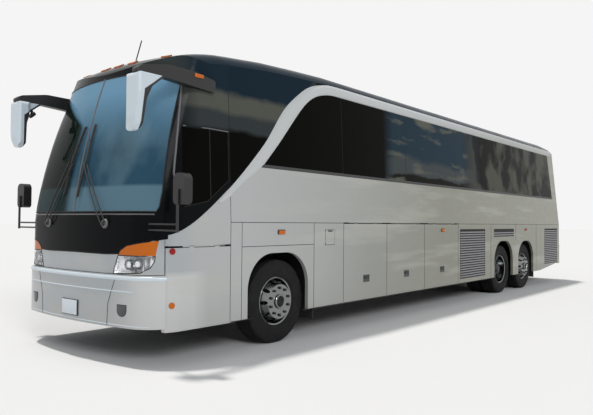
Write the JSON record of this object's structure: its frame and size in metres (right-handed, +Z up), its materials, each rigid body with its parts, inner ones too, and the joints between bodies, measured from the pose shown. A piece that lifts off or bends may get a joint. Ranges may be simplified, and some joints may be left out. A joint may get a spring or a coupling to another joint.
{
  "type": "coach bus",
  "caption": "Three-axle highway coach with luggage doors, steered front wheels, twin drive wheels and a tag axle.",
  "frame": {"origin": "on the ground under the middle of the whole outline, mirrors included", "axes": "X forward, Y to the left, Z up"},
  "size_m": [13.801, 3.34, 3.7219],
  "materials": {
    "body_silver": "gloss",
    "body_black": "gloss",
    "glass_dark": "gloss",
    "glass_clear": "gloss",
    "tyre_black": "matte",
    "rim_polished": "gloss",
    "frame_dark": "matte",
    "trim_black": "matte",
    "lens_clear": "gloss",
    "lens_amber": "gloss",
    "lens_red": "gloss",
    "seat_fabric": "matte",
    "floor_grey": "matte",
    "dash_grey": "matte",
    "engine_iron": "matte",
    "grille_silver": "satin",
    "mirror_shell": "gloss"
  },
  "bodies": {
    "root": {"underframe": "frame_dark", "passenger_floor": "floor_grey", "side_wall_left": "body_silver", "side_wall_right": "body_silver", "lower_side_panels": "body_silver", "roof": "body_black", "front_cap": "body_black", "front_mask": "body_black", "front_bumper": "body_silver", "rear_wall": "body_silver", "rear_bumper": "body_silver", "windscreen": "glass_clear", "side_glass": "glass_dark", "rear_window": "glass_dark", "headlamps": "lens_clear", "amber_lamps": "lens_amber", "tail_lamps": "lens_red", "side_grilles": "grille_silver", "sweep_trims": "body_silver", "mirror_brackets": "trim_black", "mirror_heads": "mirror_shell", "wipers": "trim_black", "dashboard": "dash_grey", "seats": "seat_fabric", "entrance_door": "body_black", "front_axle": "frame_dark", "rear_axles": "frame_dark", "engine": "engine_iron"},
    "knuckle_left": {"knuckle_left": "frame_dark"},
    "wheel_front_left": {"tyre_front_left": "tyre_black", "rim_front_left": "rim_polished"},
    "wheel_drive_left": {"tyres_drive_left": "tyre_black", "rim_drive_left": "rim_polished"},
    "wheel_tag_left": {"tyre_tag_left": "tyre_black", "rim_tag_left": "rim_polished"},
    "luggage_door_left_1": {"luggage_door_left_1": "body_silver"},
    "luggage_door_left_2": {"luggage_door_left_2": "body_silver"},
    "luggage_door_left_3": {"luggage_door_left_3": "body_silver"},
    "knuckle_right": {"knuckle_right": "frame_dark"},
    "wheel_front_right": {"tyre_front_right": "tyre_black", "rim_front_right": "rim_polished"},
    "wheel_drive_right": {"tyres_drive_right": "tyre_black", "rim_drive_right": "rim_polished"},
    "wheel_tag_right": {"tyre_tag_right": "tyre_black", "rim_tag_right": "rim_polished"},
    "luggage_door_right_1": {"luggage_door_right_1": "body_silver"},
    "luggage_door_right_2": {"luggage_door_right_2": "body_silver"},
    "luggage_door_right_3": {"luggage_door_right_3": "body_silver"},
    "steering_wheel": {"steering_wheel": "trim_black"},
    "service_flap": {"service_flap": "body_silver"},
    "filler_flap": {"filler_flap": "body_silver"},
    "engine_lid": {"engine_lid": "body_silver"},
    "roof_hatch_1": {"roof_hatch_1": "body_black"},
    "roof_hatch_2": {"roof_hatch_2": "body_black"}
  },
  "joints": [
    {"name": "steer_left", "type": "hinge", "parent": "root", "child": "knuckle_left", "pos_m": [4.7305, 0.82, 0.515], "axis": [0, 0, 1], "range_deg": [-40, 40]},
    {"name": "spin_front_left", "type": "hinge", "parent": "knuckle_left", "child": "wheel_front_left", "pos_m": [4.7305, 1.075, 0.515], "axis": [0, 1, 0], "continuous": true},
    {"name": "spin_drive_left", "type": "hinge", "parent": "root", "child": "wheel_drive_left", "pos_m": [-2.6595, 0.91, 0.515], "axis": [0, 1, 0], "continuous": true},
    {"name": "spin_tag_left", "type": "hinge", "parent": "root", "child": "wheel_tag_left", "pos_m": [-4.0495, 1.075, 0.515], "axis": [0, 1, 0], "continuous": true},
    {"name": "luggage_hinge_left_1", "type": "hinge", "parent": "root", "child": "luggage_door_left_1", "pos_m": [2.8155, 1.288, 1.49], "axis": [1, 0, 0], "range_deg": [0, 85]},
    {"name": "luggage_hinge_left_2", "type": "hinge", "parent": "root", "child": "luggage_door_left_2", "pos_m": [1.6105, 1.288, 1.49], "axis": [1, 0, 0], "range_deg": [0, 85]},
    {"name": "luggage_hinge_left_3", "type": "hinge", "parent": "root", "child": "luggage_door_left_3", "pos_m": [0.3205, 1.288, 1.49], "axis": [1, 0, 0], "range_deg": [0, 85]},
    {"name": "steer_right", "type": "hinge", "parent": "root", "child": "knuckle_right", "pos_m": [4.7305, -0.82, 0.515], "axis": [0, 0, 1], "range_deg": [-40, 40]},
    {"name": "spin_front_right", "type": "hinge", "parent": "knuckle_right", "child": "wheel_front_right", "pos_m": [4.7305, -1.075, 0.515], "axis": [0, 1, 0], "continuous": true},
    {"name": "spin_drive_right", "type": "hinge", "parent": "root", "child": "wheel_drive_right", "pos_m": [-2.6595, -0.91, 0.515], "axis": [0, 1, 0], "continuous": true},
    {"name": "spin_tag_right", "type": "hinge", "parent": "root", "child": "wheel_tag_right", "pos_m": [-4.0495, -1.075, 0.515], "axis": [0, 1, 0], "continuous": true},
    {"name": "luggage_hinge_right_1", "type": "hinge", "parent": "root", "child": "luggage_door_right_1", "pos_m": [2.8155, -1.288, 1.49], "axis": [-1, 0, 0], "range_deg": [0, 85]},
    {"name": "luggage_hinge_right_2", "type": "hinge", "parent": "root", "child": "luggage_door_right_2", "pos_m": [1.6105, -1.288, 1.49], "axis": [-1, 0, 0], "range_deg": [0, 85]},
    {"name": "luggage_hinge_right_3", "type": "hinge", "parent": "root", "child": "luggage_door_right_3", "pos_m": [0.3205, -1.288, 1.49], "axis": [-1, 0, 0], "range_deg": [0, 85]},
    {"name": "steering_column", "type": "hinge", "parent": "root", "child": "steering_wheel", "pos_m": [5.9505, 0.62, 1.79], "axis": [-0.4226, 0, 0.9063], "range_deg": [-720, 720]},
    {"name": "service_hinge", "type": "hinge", "parent": "root", "child": "service_flap", "pos_m": [5.9969, 1.288, 1.23], "axis": [1, 0, 0], "range_deg": [0, 85]},
    {"name": "filler_hinge", "type": "hinge", "parent": "root", "child": "filler_flap", "pos_m": [3.8305, 1.288, 1.295], "axis": [0, 0, -1], "range_deg": [0, 85]},
    {"name": "engine_lid_hinge", "type": "hinge", "parent": "root", "child": "engine_lid", "pos_m": [-6.79337, 0, 1.9], "axis": [0, 1, 0], "range_deg": [0, 80]},
    {"name": "roof_hatch_hinge_1", "type": "hinge", "parent": "root", "child": "roof_hatch_1", "pos_m": [2.5305, 0, 3.644], "axis": [0, 1, 0], "range_deg": [0, 50]},
    {"name": "roof_hatch_hinge_2", "type": "hinge", "parent": "root", "child": "roof_hatch_2", "pos_m": [-3.0695, 0, 3.644], "axis": [0, 1, 0], "range_deg": [0, 50]}
  ],
  "couplings": [
    {"joint": "steer_right", "follows": "steer_left", "ratio": 1},
    {"joint": "steering_column", "follows": "steer_left", "ratio": 17}
  ]
}
